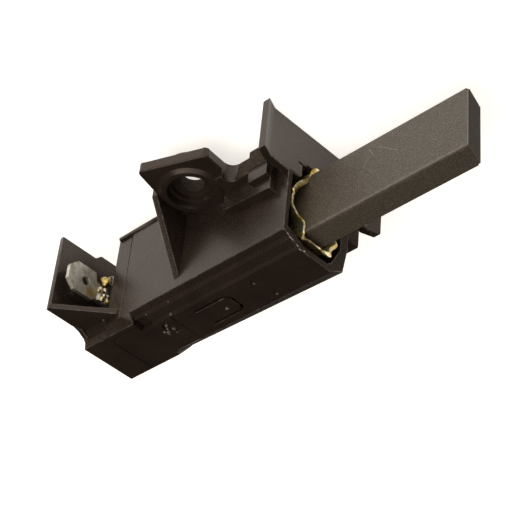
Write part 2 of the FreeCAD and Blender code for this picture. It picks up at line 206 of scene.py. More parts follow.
def cut_across(piece, axis, positions, wanted=lambda face: True):
    """Cuts new rows of points through the wanted faces at these places along one axis."""
    normal = Vector((0, 0, 0))
    normal[axis] = 1
    for position in positions:
        centre = Vector((0, 0, 0))
        centre[axis] = position
        select_faces(piece, wanted)
        bpy.ops.object.mode_set(mode="EDIT")
        bpy.ops.mesh.bisect(plane_co=centre, plane_no=normal)
        bpy.ops.object.mode_set(mode="OBJECT")


def soften(piece, width, segments=2, angle=30):
    """Rounds the sharp edges of the piece by a width in millimetres."""
    bevel = piece.modifiers.new("edge rounding", "BEVEL")
    bevel.width = width * MM
    bevel.segments = segments
    bevel.limit_method = "ANGLE"
    bevel.angle_limit = math.radians(angle)
    bevel.use_clamp_overlap = True
    bevel.miter_outer = "MITER_ARC"
    apply_modifiers(piece)


# Faces larger than this many square millimetres count as large and flat
FLAT_AREA = 2


def triangulate(piece):
    """Splits every face into triangles, but remembers which ones lie in a large flat face."""
    flat = piece.data.attributes.new("flat", "BOOLEAN", "FACE")
    for face in piece.data.polygons:
        flat.data[face.index].value = face.area > FLAT_AREA * MM * MM
    pick(piece)
    bpy.ops.object.mode_set(mode="EDIT")
    bpy.ops.mesh.select_all(action="SELECT")
    bpy.ops.mesh.quads_convert_to_tris(quad_method="BEAUTY", ngon_method="BEAUTY")
    bpy.ops.object.mode_set(mode="OBJECT")


def edge_sides(piece):
    """The faces on both sides of each edge, by the edge's key."""
    sides = {}
    for face in piece.data.polygons:
        for key in face.edge_keys:
            sides.setdefault(key, []).append(face)
    return sides


def crisp_flats(piece, rubbed):
    """Keeps the large flat faces flat: their borders are crisp, except towards a rubbed edge, whose
    paler finish is wear and painted highlight.
    """
    flat = piece.data.attributes["flat"].data
    sides = edge_sides(piece)
    for edge in piece.data.edges:
        pair = sides.get(edge.key, [])
        if len(pair) != 2 or rubbed in (pair[0].material_index, pair[1].material_index):
            continue
        bent = pair[0].normal.angle(pair[1].normal, 0) > math.radians(1)
        if bent and (flat[pair[0].index].value or flat[pair[1].index].value):
            edge.use_edge_sharp = True


# Marks and grooves shallower than this, in millimetres, keep their edges as moulded
SHALLOW = 0.3


def outer_edges(piece, longer):
    """Sharp edges of triangles that stand out and are longer than this many millimetres."""
    sides = edge_sides(piece)
    for edge in piece.data.edges:
        start, end = (piece.data.vertices[index].co for index in edge.vertices)
        pair = sides.get(edge.key, [])
        length = (end - start).length
        if len(pair) != 2 or length < longer * MM:
            continue
        if min(2 * face.area / length for face in pair) < SHALLOW * MM:
            continue
        sharp = pair[0].normal.angle(pair[1].normal, 0) > math.radians(30)
        if sharp and (pair[1].center - start).dot(pair[0].normal) < 0:
            yield edge


def rub_and_highlight_edges(piece, width, longer, finish):
    """Rounds the long outer edges by a width in millimetres and gives them a paler finish of their own,
    rubbed wear and painted highlight.
    """
    piece.data.materials.append(finish)
    weights = piece.data.attributes.new("bevel_weight_edge", "FLOAT", "EDGE")
    for edge in outer_edges(piece, longer):
        weights.data[edge.index].value = 1
    bevel = piece.modifiers.new("rubbed edges", "BEVEL")
    bevel.width = width * MM
    bevel.segments = 2
    bevel.limit_method = "WEIGHT"
    bevel.use_clamp_overlap = False
    bevel.material = len(piece.data.materials) - 1
    apply_modifiers(piece)


def lump(centre, radius, seed, roughness=0.35):
    """Small uneven grain about a point."""
    deselect()
    bpy.ops.mesh.primitive_ico_sphere_add(subdivisions=3, radius=radius, location=centre)
    grain = settle(bpy.context.object)
    for vertex in grain.data.vertices:
        away = vertex.co - centre
        shake = field.noise(away / radius + Vector((3.7 * seed, 0, 0)))
        vertex.co = centre + away * (1 + roughness * shake)
    return grain


def join(name, pieces):
    """One piece from several."""
    deselect()
    for piece in pieces:
        piece.select_set(True)
    bpy.context.view_layer.objects.active = pieces[0]
    bpy.ops.object.join()
    bpy.context.object.name = name
    return bpy.context.object


def melt(piece, size):
    """Runs lumps that touch into one skin, with facets of this many millimetres."""
    remesh = piece.modifiers.new("melt", "REMESH")
    remesh.mode = "VOXEL"
    remesh.voxel_size = size * MM
    flow = piece.modifiers.new("flow", "SMOOTH")
    flow.iterations = 6
    apply_modifiers(piece)


# Materials

def add_node(tree, kind, inputs=(), **settings):
    """One node with its settings; an input takes a value, or a link from an output socket."""
    node = tree.nodes.new(kind)
    for key, value in settings.items():
        setattr(node, key, value)
    for name, value in dict(inputs).items():
        if isinstance(value, bpy.types.NodeSocket):
            tree.links.new(value, node.inputs[name])
        else:
            node.inputs[name].default_value = value
    return node


def new_material(name, colour, roughness, metallic=0.0):
    """Empty material with its shader; returns the material, its tree, shader and coordinates."""
    material = bpy.data.materials.new(name)
    material.use_nodes = True
    tree = material.node_tree
    shader = tree.nodes["Principled BSDF"]
    shader.inputs["Base Color"].default_value = colour
    shader.inputs["Roughness"].default_value = roughness
    shader.inputs["Metallic"].default_value = metallic
    coordinates = add_node(tree, "ShaderNodeTexCoord").outputs["Object"]
    return material, tree, shader, coordinates


def ramp(tree, factor, stops):
    """Colour ramp over a factor; stops are positions with linear colours."""
    node = add_node(tree, "ShaderNodeValToRGB", {"Fac": factor})
    elements = node.color_ramp.elements
    for element, (position, colour) in zip(elements, (stops[0], stops[-1])):
        element.position = position
        element.color = colour
    for position, colour in stops[1:-1]:
        elements.new(position).color = colour
    return node.outputs["Color"]


def grey(value):
    """Opaque grey of this linear value."""
    return (value, value, value, 1.0)


def noise(tree, coordinates, size, detail=4.0, roughness=0.55):
    """Noise whose blotches are about this many millimetres across."""
    inputs = {"Vector": coordinates, "Scale": 1 / (size * MM), "Detail": detail}
    inputs["Roughness"] = roughness
    return add_node(tree, "ShaderNodeTexNoise", inputs).outputs["Fac"]


def bump(tree, height, depth, strength=1.0, below=None):
    """Bump from a height between 0 and 1 that stands for this depth in millimetres."""
    inputs = {"Height": height, "Distance": depth * MM, "Strength": strength}
    if below:
        inputs["Normal"] = below
    return add_node(tree, "ShaderNodeBump", inputs).outputs["Normal"]


def mix(tree, share, first, second):
    """Colour that goes from the first to the second as the share goes from 0 to 1."""
    inputs = {"Factor": share, "A": first, "B": second}
    return add_node(tree, "ShaderNodeMix", inputs, data_type="RGBA").outputs["Result"]


def fade_out(tree, coordinates, centre, wander, limits, strongest):
    """Share that falls from its strongest value to nothing between two distances from a place.

    The distances are in millimetres, and a noise times the reach of its wander is added to them.
    """
    ragged, reach = wander
    inputs = {0: coordinates, 1: centre}
    away = add_node(tree, "ShaderNodeVectorMath", inputs, operation="DISTANCE").outputs["Value"]
    inputs = {0: ragged, 1: reach * MM, 2: away}
    distance = add_node(tree, "ShaderNodeMath", inputs, operation="MULTIPLY_ADD").outputs["Value"]
    near, far = limits
    inputs = {"Value": distance, "From Min": near * MM, "From Max": far * MM}
    inputs.update({"To Min": strongest, "To Max": 0.0})
    return add_node(tree, "ShaderNodeMapRange", inputs).outputs["Result"]


def holder_moulding():
    """Glass-filled thermoset, compression moulded: near black with a brown cast and a satin skin."""
    sizes = bpy.context.scene.brush_holder
    material, tree, shader, coordinates = new_material("thermoset moulding", linear("#1b1613"), 0.3)
    shader.inputs["IOR"].default_value = 1.42
    shader.inputs["Specular Tint"].default_value = linear("#ffeadb")
    blotch = noise(tree, coordinates, 7.0, 3.0)
    grain = noise(tree, coordinates, 0.35, 5.0, 0.65)
    scuff = noise(tree, coordinates, 1.4, 6.0, 0.7)
    stops = [(0.3, linear(sizes.moulding_dark)), (0.7, linear(sizes.moulding_light))]
    colour = ramp(tree, blotch, stops)
    worn = ramp(tree, scuff, [(0.62, grey(0.0)), (0.8, grey(0.2))])
    dusty = mix(tree, worn, colour, linear("#4a423b"))
    tree.links.new(dusty, shader.inputs["Base Color"])
    rough = ramp(tree, grain, [(0.25, grey(0.22)), (0.75, grey(0.34))])
    tree.links.new(rough, shader.inputs["Roughness"])
    skin = bump(tree, grain, 0.015, 0.45)
    tree.links.new(bump(tree, blotch, 0.12, 0.5, skin), shader.inputs["Normal"])
    return material


def painted_shade_resin():
    """Dull, dark resin put on as painted shade, at the mouth and along some edges."""
    material, tree, shader, coordinates = new_material("trimmed resin", linear("#2b221d"), 0.85)
    shader.inputs["Specular IOR Level"].default_value = 0.12
    scratch = noise(tree, coordinates, 0.5, 5.0, 0.7)
    colour = ramp(tree, scratch, [(0.35, linear("#241c18")), (0.7, linear("#43392f"))])
    tree.links.new(colour, shader.inputs["Base Color"])
    tree.links.new(bump(tree, scratch, 0.04, 0.6), shader.inputs["Normal"])
    return material


def rubbed_highlit_resin():
    """Edges of the moulding, pale in places: rubbed by handling, and painted highlight along the
    rounded edges.
    """
    material, tree, shader, coordinates = new_material("rubbed resin", linear("#4a423b"), 0.35)
    shader.inputs["IOR"].default_value = 1.45
    rub = noise(tree, coordinates, 1.1, 4.0, 0.7)
    stops = [(0.48, linear("#2a221d")), (0.64, linear("#4f463f")), (0.78, linear("#857b71"))]
    tree.links.new(ramp(tree, rub, stops), shader.inputs["Base Color"])
    return material


def resin_grains():
    """Grains of the same resin, fused on: glossier and greyer than the moulded skin."""
    material, tree, shader, coordinates = new_material("fused resin", linear("#5d5650"), 0.12)
    shader.inputs["IOR"].default_value = 1.6
    cloud = noise(tree, coordinates, 0.3, 2.0)
    colour = ramp(tree, cloud, [(0.35, linear("#332d29")), (0.65, linear("#6f6760"))])
    tree.links.new(colour, shader.inputs["Base Color"])
    return material


def whitened_resin():
    """Torn flash: the resin turns chalky where it has been bent and broken."""
    material, tree, shader, coordinates = new_material("whitened resin", linear("#b9b2ab"), 0.6)
    cloud = noise(tree, coordinates, 0.25, 3.0, 0.7)
    colour = ramp(tree, cloud, [(0.35, linear("#5a544f")), (0.6, linear("#b9b3ad"))])
    tree.links.new(colour, shader.inputs["Base Color"])
    return material


def carbon_grade():
    """Resin-bonded electrographite, pressed and ground: dark grey, grainy, with a dull sparkle."""
    sizes = bpy.context.scene.brush_carbon
    material, tree, shader, coordinates = new_material("electrographite", linear("#35322f"), 0.5)
    grain = noise(tree, coordinates, sizes.grain / MM, 3.0, 0.8)
    fine = noise(tree, coordinates, 0.14, 2.0, 0.9)
    stops = [(0.36, linear(sizes.dark)), (0.5, linear("#413a31")), (0.62, linear(sizes.light))]
    # The light line along the long upper edge is rubbed graphite and painted highlight.
    rubbed = mix(tree, worn_highlit_edge(tree, coordinates), ramp(tree, grain, stops), linear("#8d857a"))
    tree.links.new(rubbed, shader.inputs["Base Color"])
    rough = ramp(tree, fine, [(0.3, grey(0.42)), (0.7, grey(0.62))])
    tree.links.new(rough, shader.inputs["Roughness"])
    pits = bump(tree, fine, 0.04, 0.6)
    tree.links.new(bump(tree, grain, 0.06, 0.7, pits), shader.inputs["Normal"])
    return material


def worn_highlit_edge(tree, coordinates):
    """Share of pale, rubbed graphite with painted highlight: a ragged light line along the long upper
    edge.
    """
    edge = Vector((0, CARBON_HIGH.y, CARBON_HIGH.z))
    inputs = {0: coordinates, 1: (0, 1, 1)}
    across = add_node(tree, "ShaderNodeVectorMath", inputs, operation="MULTIPLY").outputs["Vector"]
    ragged = noise(tree, coordinates, 0.8, 4.0, 0.7)
    return fade_out(tree, across, edge, (ragged, -1.3), (-0.6, 0.0), 0.3)


def contact_film():
    """Ground contact face: the same carbon, burnished and darkened by the film of the track."""
    material, tree, shader, coordinates = new_material("burnished carbon", linear("#201d1a"), 0.6)
    shader.inputs["Specular IOR Level"].default_value = 0.06
    grain = noise(tree, coordinates, 0.25, 3.0, 0.8)
    colour = ramp(tree, grain, [(0.35, linear("#221a14")), (0.65, linear("#392f25"))])
    tree.links.new(colour, shader.inputs["Base Color"])
    tree.links.new(bump(tree, grain, 0.03, 0.5), shader.inputs["Normal"])
    return material


def rubbed_graphite():
    """Bottom of a scratch: graphite burnished to a pale grey."""
    return new_material("rubbed graphite", linear("#857d73"), 0.45)[0]


def guide_brass():
    """Half-hard brass sheet, sheared and folded: bright gold, browned where it was handled."""
    sizes = bpy.context.scene.brush_guide
    material, tree, shader, coordinates = new_material("brass sheet", linear("#c79a4b"), 0.28, 1.0)
    stain = noise(tree, coordinates, 1.6, 5.0, 0.6)
    stops = [(0.32, linear("#7d6430")), (0.46, linear("#cdb36c")), (0.58, linear(sizes.colour))]
    tree.links.new(ramp(tree, stain, stops), shader.inputs["Base Color"])
    rough = ramp(tree, stain, [(0.35, grey(0.55)), (0.6, grey(0.4))])
    tree.links.new(rough, shader.inputs["Roughness"])
    dents = noise(tree, coordinates, 0.9, 2.0)
    tree.links.new(bump(tree, dents, 0.12, 0.6), shader.inputs["Normal"])
    return material


def blade_tin():
    """Brass strip with a rolled tin finish: soft silver, with one brown stain by the shoulder."""
    material, tree, shader, coordinates = new_material("tinned brass", linear("#c9c7c1"), 0.32, 1.0)
    cloud = noise(tree, coordinates, 1.2, 4.0)
    base = ramp(tree, cloud, [(0.35, linear("#a09c8f")), (0.62, linear("#d2cfc3"))])
    centre = place(-46.7, 10.2, 1.9)
    ragged = noise(tree, coordinates, 1.0, 3.0)
    stain = fade_out(tree, coordinates, centre, (ragged, 1.6), (1.3, 2.3), 1.0)
    stained = mix(tree, stain, base, linear("#b59c69"))
    tree.links.new(stained, shader.inputs["Base Color"])
    rough = ramp(tree, cloud, [(0.3, grey(0.55)), (0.7, grey(0.38))])
    tree.links.new(rough, shader.inputs["Roughness"])
    tree.links.new(bump(tree, cloud, 0.02, 0.3), shader.inputs["Normal"])
    return material


def worn_tin():
    """Tin that the folding has cracked: dull yellow brass shows through between silvery islands."""
    material, tree, shader, coordinates = new_material("tin worn to brass", linear("#b9ae88"), 0.4, 1.0)
    cloud = noise(tree, coordinates, 0.6, 3.0)
    stops = [(0.38, linear("#8f7836")), (0.5, linear("#cdb877")), (0.62, linear("#d2cfc3"))]
    tree.links.new(ramp(tree, cloud, stops), shader.inputs["Base Color"])
    return material


def braid_copper():
    """Drawn copper strands, lacquered by heat: golden brown with dark gaps between the strands."""
    material, tree, shader, coordinates = new_material("copper braid", linear("#b5793a"), 0.35, 1.0)
    stain = noise(tree, coordinates, 0.5, 4.0)
    colour = ramp(tree, stain, [(0.3, linear("#6a5222")), (0.6, linear("#dcc07a"))])
    tree.links.new(colour, shader.inputs["Base Color"])
    return material


def plug_copper():
    """Copper powder tamped into the carbon: matt, red-brown and grainy."""
    powder = linear("#6d3f2b")
    material, tree, shader, coordinates = new_material("tamped copper powder", powder, 0.7, 0.6)
    grain = noise(tree, coordinates, 0.12, 3.0, 0.8)
    colour = ramp(tree, grain, [(0.3, linear("#4b2a1c")), (0.7, linear("#93583b"))])
    tree.links.new(colour, shader.inputs["Base Color"])
    tree.links.new(bump(tree, grain, 0.05), shader.inputs["Normal"])
    return material


def spring_wire_steel():
    """Hard-drawn spring wire: grey, lengthwise drawn, lightly oiled."""
    material, tree, shader, coordinates = new_material("spring wire", linear("#8b8b8c"), 0.3, 1.0)
    streak = noise(tree, coordinates, 0.4, 3.0)
    rough = ramp(tree, streak, [(0.3, grey(0.25)), (0.7, grey(0.45))])
    tree.links.new(rough, shader.inputs["Roughness"])
    return material


# Sizes and colours that a user would change

class HolderSizes(bpy.types.PropertyGroup):
    """Finish of the moulding."""

    edge: bpy.props.FloatProperty(
        name="Edge rounding",
        description="Radius of the moulding's outer edges",
        default=0.14 * MM,
        unit="LENGTH",
    )
    moulding_dark: bpy.props.StringProperty(
        name="Dark moulding",
        description="Darkest colour of the moulding, sRGB hex",
        default="#1f1814",
    )
    moulding_light: bpy.props.StringProperty(
        name="Light moulding",
        description="Lightest colour of the moulding, sRGB hex",
        default="#2a211c",
    )


class GuideSizes(bpy.types.PropertyGroup):
    """Sheet and crumpled mouth of the brass guide."""

    sheet: bpy.props.FloatProperty(
        name="Sheet", description="Thickness of the brass", default=0.34 * MM, unit="LENGTH"
    )
    crumple: bpy.props.FloatProperty(
        name="Crumple", description="How far the rim waves in and out", default=0.12 * MM, unit="LENGTH"
    )
    colour: bpy.props.StringProperty(
        name="Brass", description="Colour of the clean brass, sRGB hex", default="#f4eac4"
    )


class CarbonSizes(bpy.types.PropertyGroup):
    """Edges and grain of the carbon."""

    edge: bpy.props.FloatProperty(
        name="Edge wear", description="Rounding of the carbon's edges", default=0.12 * MM, unit="LENGTH"
    )
    grain: bpy.props.FloatProperty(
        name="Grain", description="Size of the carbon's grain", default=0.24 * MM, unit="LENGTH"
    )
    dark: bpy.props.StringProperty(
        name="Dark grain", description="Colour of the pores, sRGB hex", default="#2b261f"
    )
    light: bpy.props.StringProperty(
        name="Light grain", description="Colour of the graphite flakes, sRGB hex", default="#61584a"
    )


class CordSizes(bpy.types.PropertyGroup):
    """Braided cord and coil spring."""

    diameter: bpy.props.FloatProperty(
        name="Cord", description="Diameter of the braided cord", default=2.0 * MM, unit="LENGTH"
    )
    strands: bpy.props.IntProperty(
        name="Strands", description="Strands that wind each way round the cord", default=9
    )
    turns: bpy.props.IntProperty(name="Turns", description="Turns of the coil spring", default=8)
    wire: bpy.props.FloatProperty(
        name="Wire", description="Diameter of the spring's wire", default=0.5 * MM, unit="LENGTH"
    )


# Height at which the end of the tube meets the flange, in millimetres from the brush axis. The tube's
# end past this height gets the dark resin as painted shade.
MOUTH_FOOT = -4.2

# Area in square millimetres above which a forward face is the one that mouth and flange share
MOUTH_FRONT_AREA = 100

# Outer edges longer than this many millimetres are rounded and made paler: rubbed wear and painted
# highlight
RUBBED_HIGHLIT_LONGER = 1.2

# Small stop on the far side of the tube's mouth, as two corners about the brush axis
STOP_LOW = (-3.4, -10.6, -3.0)
STOP_HIGH = (-0.1, -7.6, 1.5)

# Witness line across the wall on the ear side, as two corners about the brush axis
GROOVE_LOW = (-40.35, 7.0, -10.4)
GROOVE_HIGH = (-40.0, 8.0, 9.0)

# Grains stuck to the moulding, about the brush axis: place and radius in millimetres
GRAINS = [
    ((-30.0, 4.4, 11.05), 0.28),
    ((-33.1, 2.5, 10.9), 0.32),
    ((-34.2, 0.9, 11.0), 0.4),
    ((-34.7, 1.4, 11.0), 0.28),
    ((-32.7, 1.0, 10.9), 0.32),
    ((-33.7, 1.6, 10.85), 0.3),
    ((-34.3, 0.4, 11.05), 0.24),
    ((-20.8, -0.4, 11.0), 0.34),
    ((-34.65, 6.2, 9.9), 0.16),
    ((-28.85, 6.3, 9.9), 0.16),
    ((-12.1, 2.1, 11.0), 0.12),
    ((-11.2, -2.7, 11.0), 0.12),
    ((-42.8, 9.1, 9.3), 0.14),
    ((-24.6, 7.9, -7.2), 0.22),
]

# Whitened flash along the mouth's stepped corner: across and up in the mouth plane
FLASH = [
    (7.8, 9.1), (6.9, 9.5), (6.2, 10.0), (5.2, 10.2),
    (4.4, 10.45), (3.9, 11.05), (3.1, 10.9), (2.5, 10.75),
]

# Crumbs along each stretch of the flash, their mean radius, how uneven it is and the least one
FLASH_STEPS = 6
FLASH_CRUMB = 0.06
FLASH_UNEVEN = 0.11
FLASH_LEAST = 0.035


def painted_shade(face):
    """Whether a face of the moulding gets the dark resin that is painted shade.

    The limits are in millimetres about the brush axis, or about the axis of the screw hole.
    """
    x, y, z = (face.center - MOUTH) / MM
    at_mouth = abs(x) < 0.2 and y < 7.9 and z > MOUTH_FOOT
    on_far_edge = face.normal.y < -0.3 and face.normal.z > 0.1 and z > 8
    at_rear_corner = x < -44 and 6 < y < 7.3 and z > 9 and face.normal.y > 0.5
    in_groove = GROOVE_LOW[0] - 0.02 < x < GROOVE_HIGH[0] + 0.02 and 7.3 < y < 7.75 and z < 9.1
    on_blocks = -9.5 < x < -0.6 and 8 < y < 13 and z < -5.5
    from_screw = (face.center - MOUNTS["screw_hole"]).xy.length / MM
    in_screw_hole = from_screw < 3.2 and abs(face.normal.z) < 0.5
    return at_mouth or on_far_edge or at_rear_corner or in_groove or on_blocks or in_screw_hole


def mouth_front(face):
    """Whether a face is the large one that the mouth and the flange share."""
    return face.normal.x > 0.9 and face.area > MOUTH_FRONT_AREA * MM * MM


def flash_grains():
    """Ragged crumbs along the flash, thicker in some stretches than in others."""
    grains = []
    for number, (start, end) in enumerate(zip(FLASH, FLASH[1:])):
        for step in range(FLASH_STEPS):
            share = step / FLASH_STEPS
            y = start[0] + (end[0] - start[0]) * share
            z = start[1] + (end[1] - start[1]) * share
            size = FLASH_CRUMB + FLASH_UNEVEN * field.noise(Vector((y, z, 0)) * 1.9)
            if size > FLASH_LEAST:
                seed = number * FLASH_STEPS + step
                grains.append(lump(place(0.02, y, z), size * MM, seed, 0.8))
    return grains


class FinishHolder(bpy.types.Operator):
    """Rounds the edges of the moulding and gives it its skin"""

    bl_idname = "carbon_brush.finish_holder"
    bl_label = "Finish the moulded holder"

    def execute(self, context):
        holder = node_copy("moulded_holder", "holder_body")
        cut_out(holder, block("groove", place(*GROOVE_LOW), place(*GROOVE_HIGH)))
        cut_across(holder, 2, [MOUTH.z + MOUTH_FOOT * MM], mouth_front)
        triangulate(holder)
        fit(holder, "holder", "moulding", holder_moulding(), "holder_body")
        # The dark resin is painted shade: on the mouth's end, by the flange, in the screw hole and
        # along some edges.
        paint(holder, painted_shade_resin(), painted_shade)
        # Paler rounded edges: rubbed wear, with painted highlight.
        rub_and_highlight_edges(holder, context.scene.brush_holder.edge / MM, RUBBED_HIGHLIT_LONGER, rubbed_highlit_resin())
        smooth_flats(holder)
        stop = block("far_side_stop", place(*STOP_LOW), place(*STOP_HIGH))
        soften(stop, 0.3)
        smooth_flats(stop)
        # The stop takes the dark resin too, as painted shade.
        fit(stop, "holder", "moulding", painted_shade_resin())
        grains = [
            lump(place(*spot), radius * MM, seed, 0.7) for seed, (spot, radius) in enumerate(GRAINS)
        ]
        grit = join("moulding_grains", grains)
        smooth(grit, 60)
        fit(grit, "holder", "moulding", resin_grains())
        flash = join("mouth_flash", flash_grains())
        fit(flash, "holder", "moulding", whitened_resin())
        return {"FINISHED"}


# Mouth of the brass guide: points on its straight section (across, up), where the rim has been
# bent to (along, across, up) and how wide its turned-out lip is, in millimetres from the mouth.
# The ear side bulges out to the wall, the frame side is curled over and the far corner is hooked.
GUIDE_MIDDLE = (2.85, 6.75)
GUIDE_RIM = [
    ((-1.5, -6.75), (0.1, -1.6, -7.0), 0.1),
    ((0.4, -6.75), (0.5, 0.8, -7.4), 0.7),
    ((1.6, -6.75), (0.5, 1.7, -7.2), 0.8),
    ((2.7, -6.75), (0.3, 2.4, -6.6), 0.5),
    ((2.85, -5.7), (0.0, 2.5, -5.5), 0.3),
    ((2.85, -4.7), (0.1, 3.4, -3.8), 0.7),
    ((2.85, -3.7), (0.1, 4.8, -2.2), 0.8),
    ((2.85, -2.7), (0.0, 5.85, -0.9), 0.35),
    ((2.85, -1.6), (0.0, 6.15, 0.0), 0.0),
    ((2.85, 1.2), (0.0, 6.2, 2.6), 0.0),
    ((2.85, 2.6), (0.0, 4.75, 3.85), 0.1),
    ((2.85, 3.9), (0.0, 3.45, 4.45), 0.1),
    ((2.85, 5.2), (0.0, 2.8, 5.4), 0.1),
    ((2.85, 6.5), (0.0, 2.9, 6.9), 0.3),
    ((2.5, 6.75), (0.2, 2.9, 7.7), 0.9),
    ((1.5, 6.75), (0.0, 1.75, 7.8), 0.1),
    ((-1.3, 6.75), (0.0, -1.3, 7.7), 0.1),
    ((-2.3, 6.75), (0.2, -2.6, 7.5), 0.7),
    ((-2.75, 6.6), (0.2, -3.3, 7.3), 0.9),
    ((-2.85, 5.4), (0.3, -3.4, 6.2), 0.6),
    ((-2.85, 4.2), (0.5, -4.5, 4.75), 0.4),
    ((-2.85, 2.6), (0.3, -3.5, 2.6), 0.1),
    ((-2.85, 0.0), (0.1, -3.1, 0.0), 0.0),
    ((-2.85, -5.5), (0.1, -3.1, -5.6), 0.0),
]

# Depth of the rim's turned-out lip, how far behind the mouth the dents reach, and the radius of
# the folds, in millimetres
GUIDE_EDGE = 0.35
GUIDE_BENT = 4.5
GUIDE_FOLD = 0.5

# Start of the noise that waves the rim. Without it the noise starts from the clock, and no two
# runs bend the rim alike.
GUIDE_SEED = 1795786951

# Rows of points: their places behind the mouth and their spacing round the section in
# millimetres, and how many lie on each side of the middle, up the guide and across it
GUIDE_ROWS = (GUIDE_BENT, 4, 3.5, 3, 2.5, 2, 1.5, 1.1, 0.7, GUIDE_EDGE)
GUIDE_GRID = 0.3
ROWS_UP = 21
ROWS_ACROSS = 7


def round_section(y, z):
    """Distance round the guide's section from the middle of its frame side to this point."""
    half_y, half_z = GUIDE_MIDDLE
    if half_z - abs(z) < half_y - abs(y):
        return y if z < 0 else 2 * half_y + 2 * half_z - y
    if y > 0:
        return half_y + half_z + z
    return 3 * half_y + 3 * half_z - z


def rim_bends():
    """Place round the section, bend and lip of each rim point, in order round the guide."""
    bends = [
        (round_section(y, z), Vector((*(Vector(rim) - Vector((0, y, z))), lip)))
        for (y, z), rim, lip in GUIDE_RIM
    ]
    whole = 4 * sum(GUIDE_MIDDLE)
    before = [(around - whole, bend) for around, bend in bends[-2:]]
    after = [(around + whole, bend) for around, bend in bends[:2]]
    return before + bends + after


def rim_offset(point, bends, crumple):
    """How far one point of the guide's mouth has been bent, in metres."""
    share = min(1.0, (point.x + GUIDE_BENT) / (GUIDE_BENT - GUIDE_EDGE))
    here = round_section(point.y, point.z)
    index = next(i for i in range(1, len(bends) - 2) if bends[i + 1][0] >= here)
    part = (here - bends[index][0]) / (bends[index + 1][0] - bends[index][0])
    p0, p1, p2, p3 = (bend for around, bend in bends[index - 1 : index + 3])
    bend = p1 + 0.5 * part * (
        p2 - p0 + part * (2 * p0 - 5 * p1 + 4 * p2 - p3 + part * (3 * (p1 - p2) + p3 - p0))
    )
    shake = field.noise_vector(Vector((0, point.y, point.z)) * 0.9) * crumple / MM
    offset = share ** 1.6 * bend.xyz + share ** 2 * shake
    if point.x > -GUIDE_EDGE / 2:
        outwards = (Vector((0, 1.4 * point.y, point.z)) + Vector((0, bend.y, bend.z))).normalized()
        offset += outwards * max(0.0, bend.w)
        offset.x -= GUIDE_EDGE * min(1.0, max(0.0, bend.w) / 0.5)
    return offset * MM


class FoldGuide(bpy.types.Operator):
    """Folds the brass guide from sheet and crumples its mouth"""

    bl_idname = "carbon_brush.fold_guide"
    bl_label = "Fold the brass guide"

    def execute(self, context):
        sizes = context.scene.brush_guide
        middle = Vector((0, *GUIDE_MIDDLE)) * MM
        back = Vector((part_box("guide_tube")[0].x, MOUTH.y, MOUTH.z))
        guide = block("brass_guide", back - middle, MOUTH + middle)
        select_faces(guide, lambda face: abs(face.normal.x) > 0.9)
        bpy.ops.object.mode_set(mode="EDIT")
        bpy.ops.mesh.delete(type="ONLY_FACE")
        bpy.ops.object.mode_set(mode="OBJECT")
        bend = guide.modifiers.new("bends", "BEVEL")
        bend.width = GUIDE_FOLD * MM
        bend.segments = 3
        apply_modifiers(guide)
        cut_across(guide, 0, [MOUTH.x - row * MM for row in GUIDE_ROWS])
        for axis, rows in ((2, ROWS_UP), (1, ROWS_ACROSS)):
            steps = range(-rows, rows + 1)
            cut_across(guide, axis, [MOUTH[axis] + step * GUIDE_GRID * MM for step in steps])
        bends = rim_bends()
        field.seed_set(GUIDE_SEED)
        for vertex in guide.data.vertices:
            point = (vertex.co - MOUTH) / MM
            if point.x > -GUIDE_BENT:
                vertex.co += rim_offset(point, bends, sizes.crumple)
        sheet = guide.modifiers.new("sheet", "SOLIDIFY")
        sheet.thickness = sizes.sheet
        sheet.offset = 0
        apply_modifiers(guide)
        soften(guide, 0.05, 1, 50)
        smooth(guide, 40)
        fit(guide, "holder", "brass_sheet", guide_brass(), "guide_tube")
        return {"FINISHED"}


# Fine marks on the ear side of the carbon: ends of each, along and up, in millimetres
CARBON_MARKS = [
    ((11.2, -0.3), (11.3, 5.3)),
    ((11.2, -0.4), (13.2, 0.0)),
    ((13.2, 0.0), (15.8, 2.3)),
    ((15.8, 2.4), (16.0, 5.8)),
    ((12.1, -1.0), (13.4, -3.2)),
    ((13.2, -4.5), (14.3, -2.7)),
    ((15.2, -4.1), (19.6, -0.8)),
    ((26.5, 0.8), (27.8, 1.6)),
]

# Width and depth of the marks
MARK_WIDE = 0.1
MARK_DEEP = 0.05

# Corners chipped off the ground end: along, across and up, and radius in millimetres
CARBON_CHIPS = [((34.0, 2.5, -6.25), 0.6), ((32.6, -2.5, 6.25), 0.45)]


def in_mark(face):
    """Whether a face of the carbon lies in one of the fine marks."""
    depth = (CARBON_HIGH.y - face.center.y) / MM
    sunk = 0.1 * MARK_DEEP < depth < 1.6 * MARK_DEEP
    return sunk and abs(face.center.z - MOUTH.z) < 6 * MM and face.normal.x < 0.9


def scratch(start, end):
    """Thin cutter along one mark, half sunk in the carbon's face."""
    ear_side = (CARBON_HIGH.y - MOUTH.y) / MM
    first = place(start[0], ear_side, start[1])
    last = place(end[0], ear_side, end[1])
    deselect()
    bpy.ops.mesh.primitive_cube_add(size=1, location=(first + last) / 2)
    cutter = bpy.context.object
    cutter.scale = ((last - first).length, 2 * MARK_DEEP * MM, MARK_WIDE * MM)
    cutter.rotation_euler = (0, -math.atan2(last.z - first.z, last.x - first.x), 0)
    return settle(cutter)


